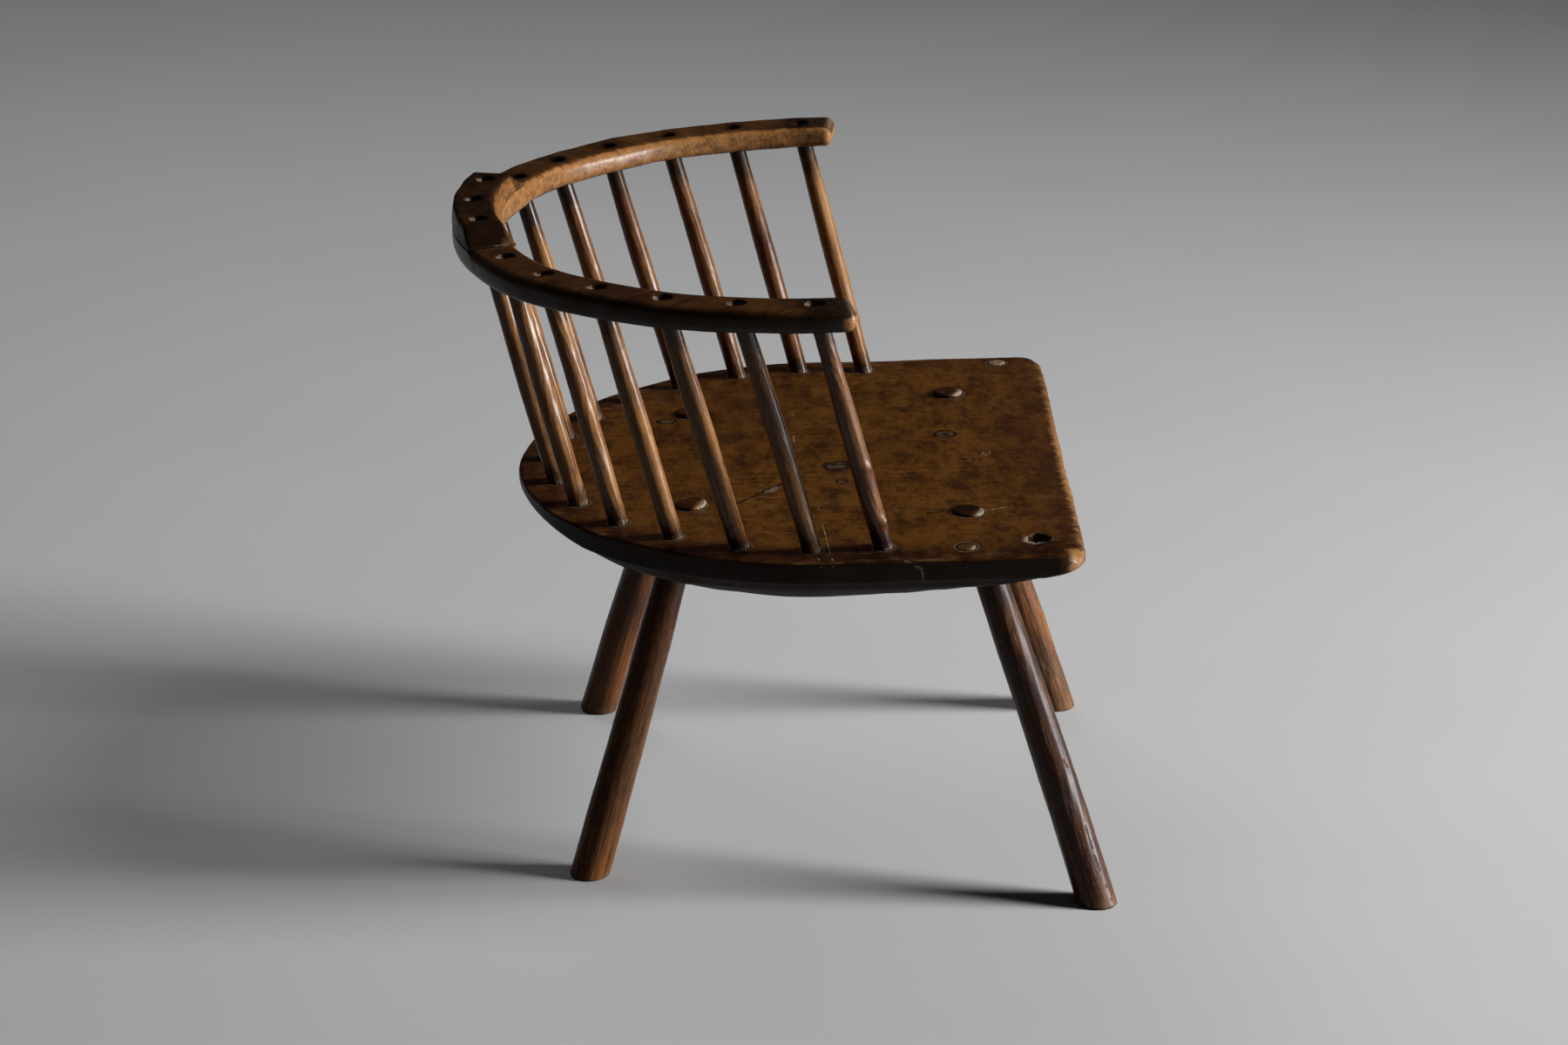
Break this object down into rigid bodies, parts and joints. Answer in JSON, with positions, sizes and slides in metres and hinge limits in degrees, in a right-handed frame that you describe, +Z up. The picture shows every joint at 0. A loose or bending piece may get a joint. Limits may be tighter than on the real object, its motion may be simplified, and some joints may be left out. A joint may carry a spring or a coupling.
{
  "type": "low stick armchair",
  "caption": "Low armchair with a D-shaped plank seat on splayed legs and a horseshoe arm carried on sticks, with a raised crest lapped over the back.",
  "frame": {"origin": "on the floor, under the middle of the whole chair", "axes": "+Z up, the chair faces -Y, +X is the sitter's left"},
  "size_m": [0.589, 0.567, 0.5329],
  "materials": {
    "seat_wood": "worn wax",
    "plug_wood": "worn",
    "arm_wood": "worn wax",
    "stick_wood": "worn wax",
    "leg_wood": "worn wax"
  },
  "bodies": {
    "root": {"seat_plank": "seat_wood", "seat_plug_right": "plug_wood", "seat_plug_left": "plug_wood", "arm_right": "arm_wood", "arm_left": "arm_wood", "arm_crest": "arm_wood", "stick_right_1": "stick_wood", "stick_right_2": "stick_wood", "stick_right_3": "stick_wood", "stick_right_4": "stick_wood", "stick_right_5": "stick_wood", "stick_right_6": "stick_wood", "stick_back_1": "stick_wood", "stick_back_2": "stick_wood", "stick_back_3": "stick_wood", "stick_left_1": "stick_wood", "stick_left_2": "stick_wood", "stick_left_3": "stick_wood", "stick_left_4": "stick_wood", "stick_left_5": "stick_wood", "stick_left_6": "stick_wood", "leg_front_right": "leg_wood", "leg_front_left": "leg_wood", "leg_rear_right": "leg_wood", "leg_rear_left": "leg_wood"}
  },
  "joints": []
}
